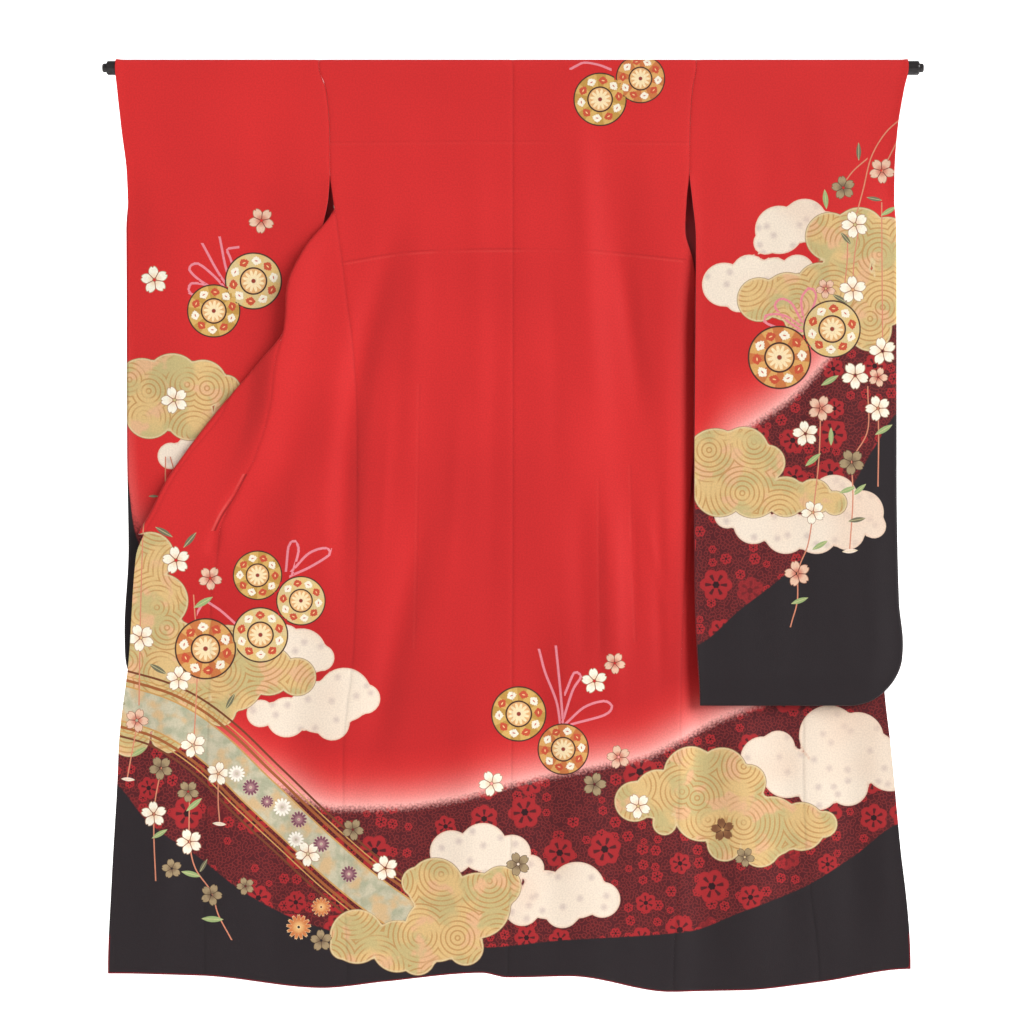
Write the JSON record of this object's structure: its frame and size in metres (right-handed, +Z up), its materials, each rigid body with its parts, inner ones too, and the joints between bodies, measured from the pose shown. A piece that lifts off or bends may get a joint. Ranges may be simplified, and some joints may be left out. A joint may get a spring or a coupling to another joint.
{
  "type": "furisode on a hanging rod",
  "caption": "Long-sleeved formal kimono hung spread on a straight round rod, its skirt opened flat to both sides.",
  "frame": {"origin": "on the rod's axis at its middle, where the rod is held", "axes": "+Z up, +X along the rod to the viewer's right, -Y towards the viewer, who sees the garment's back"},
  "size_m": [1.428, 0.0565, 1.6196],
  "materials": {
    "rod_lacquer": "black lacquer, satin",
    "silk_body": "printed crepe silk, matte with a soft sheen",
    "silk_okumi": "printed crepe silk, matte with a soft sheen",
    "silk_sleeve": "printed crepe silk, matte with a soft sheen",
    "silk_collar": "crepe silk, matte with a soft sheen"
  },
  "bodies": {
    "root": {"rod": "rod_lacquer", "body_left": "silk_body", "body_right": "silk_body", "okumi_left": "silk_okumi", "okumi_right": "silk_okumi", "sleeve_left": "silk_sleeve", "sleeve_right": "silk_sleeve", "collar": "silk_collar"}
  },
  "joints": []
}
